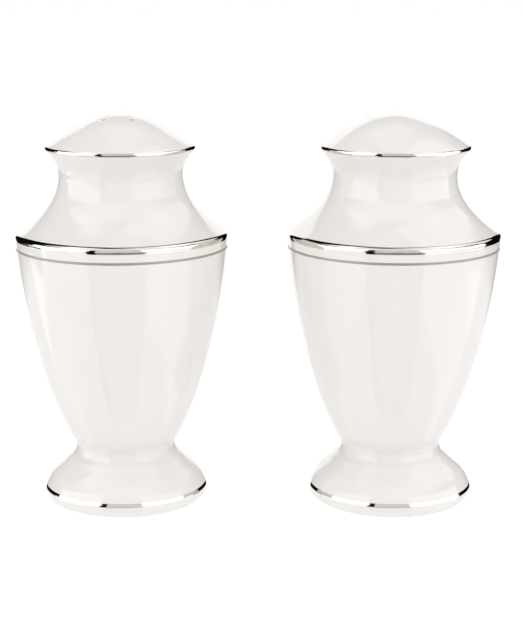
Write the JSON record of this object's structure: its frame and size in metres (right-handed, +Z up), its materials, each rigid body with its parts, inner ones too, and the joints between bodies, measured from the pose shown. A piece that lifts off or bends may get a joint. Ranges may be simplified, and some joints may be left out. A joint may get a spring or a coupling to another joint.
{
  "type": "salt and pepper shakers",
  "caption": "Pair of urn-shaped china salt and pepper shakers with domed perforated tops, fired metal bands and soft stoppers in the underside.",
  "frame": {"origin": "on the table, midway between the two shakers, at the centre of the pair's bottom", "axes": "+Z up along both shakers' axes; +X from the salt shaker to the pepper shaker; +Y away from the viewer"},
  "size_m": [0.1254, 0.0554, 0.1019],
  "materials": {
    "glazed_china": "glossy warm-white glaze, unglazed only on the foot ring",
    "fired_platinum": "mirror-bright metal fired onto the glaze",
    "soft_stopper": "matt translucent white"
  },
  "bodies": {
    "salt_shaker": {"salt_body": "glazed_china", "salt_cap_band": "fired_platinum", "salt_shoulder_band": "fired_platinum", "salt_hairline_band": "fired_platinum", "salt_foot_band": "fired_platinum"},
    "salt_stopper": {"salt_stopper": "soft_stopper"},
    "pepper_shaker": {"pepper_body": "glazed_china", "pepper_cap_band": "fired_platinum", "pepper_shoulder_band": "fired_platinum", "pepper_hairline_band": "fired_platinum", "pepper_foot_band": "fired_platinum"},
    "pepper_stopper": {"pepper_stopper": "soft_stopper"}
  },
  "joints": [
    {"name": "pepper_lift", "type": "slide", "parent": "salt_shaker", "child": "pepper_shaker", "axis": [0, 0, 1], "range_m": [0, 0.15]},
    {"name": "salt_stopper_pull", "type": "slide", "parent": "salt_shaker", "child": "salt_stopper", "axis": [0, 0, -1], "range_m": [0, 0.018]},
    {"name": "pepper_stopper_pull", "type": "slide", "parent": "pepper_shaker", "child": "pepper_stopper", "axis": [0, 0, -1], "range_m": [0, 0.018]}
  ]
}
